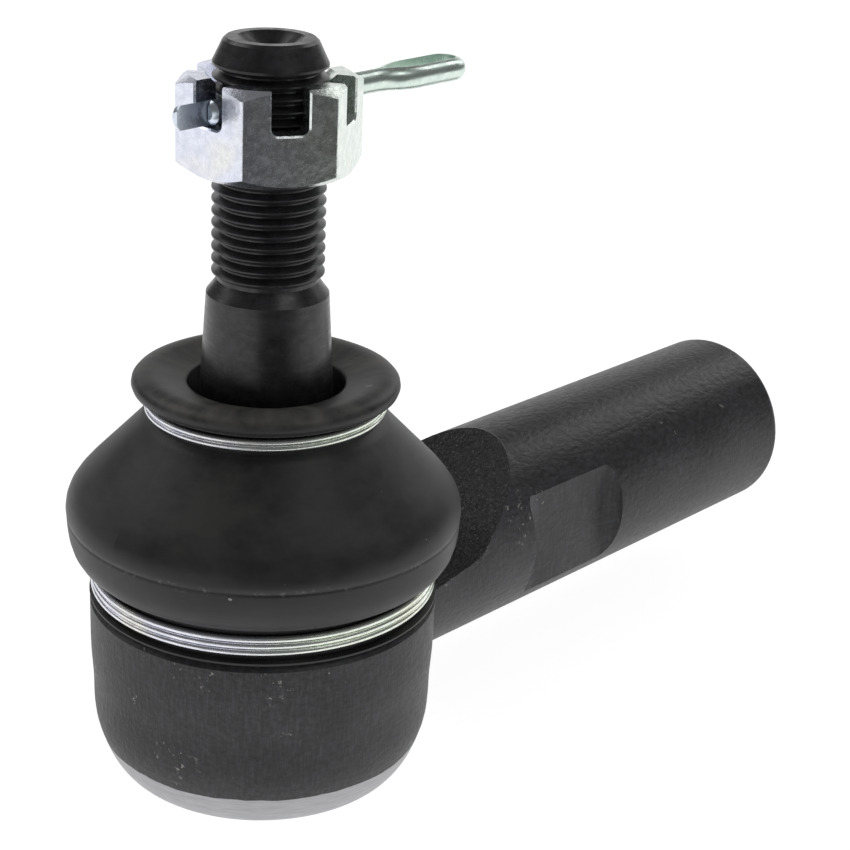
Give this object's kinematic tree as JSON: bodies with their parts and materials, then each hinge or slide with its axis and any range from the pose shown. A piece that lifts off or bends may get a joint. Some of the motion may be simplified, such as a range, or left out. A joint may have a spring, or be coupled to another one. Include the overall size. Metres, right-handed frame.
{
  "type": "tie rod end",
  "caption": "Outer tie rod end: forged black socket with a female-threaded stem, rubber boot, tapered ball stud, slotted castle nut and split pin.",
  "frame": {"origin": "centre of the stem's open end, on the axis of the female thread; the ball centre is 101.5 mm behind it along -X", "axes": "+X along the stem, out of its open end; +Z along the ball stud at rest, from the ball to the nut"},
  "size_m": [0.1267, 0.0504, 0.0961],
  "materials": {
    "forged_steel": "satin",
    "bare_steel": "matte",
    "spring_steel": "satin",
    "seat_polymer": "matte",
    "stud_steel": "satin",
    "zinc_nut": "bright",
    "zinc_pin": "bright",
    "boot_rubber": "satin",
    "ring_wire": "bright"
  },
  "bodies": {
    "housing": {"housing": "forged_steel", "end_cap": "bare_steel", "preload_spring": "spring_steel", "dust_boot": "boot_rubber", "lower_boot_ring": "ring_wire"},
    "ball_seat": {"lower_ball_seat": "seat_polymer", "upper_ball_seat": "seat_polymer"},
    "boot_neck": {"upper_boot_ring": "ring_wire"},
    "stud": {"ball_stud": "stud_steel", "castle_nut": "zinc_nut"},
    "cotter_pin": {"cotter_pin": "zinc_pin"}
  },
  "joints": [
    {"name": "swing_direction", "type": "hinge", "parent": "housing", "child": "ball_seat", "pos_m": [-0.1015, 0, 0], "axis": [0, 0, 1], "continuous": true},
    {"name": "stud_swing", "type": "hinge", "parent": "ball_seat", "child": "boot_neck", "pos_m": [-0.1015, 0, 0], "axis": [0, 1, 0], "range_deg": [-22, 22], "deforming": ["dust_boot"]},
    {"name": "stud_spin", "type": "hinge", "parent": "boot_neck", "child": "stud", "pos_m": [-0.1015, 0, 0], "axis": [0, 0, 1], "continuous": true},
    {"name": "cotter_pin_pull", "type": "slide", "parent": "stud", "child": "cotter_pin", "axis": [1, 0, 0], "range_m": [0, 0.045]}
  ]
}
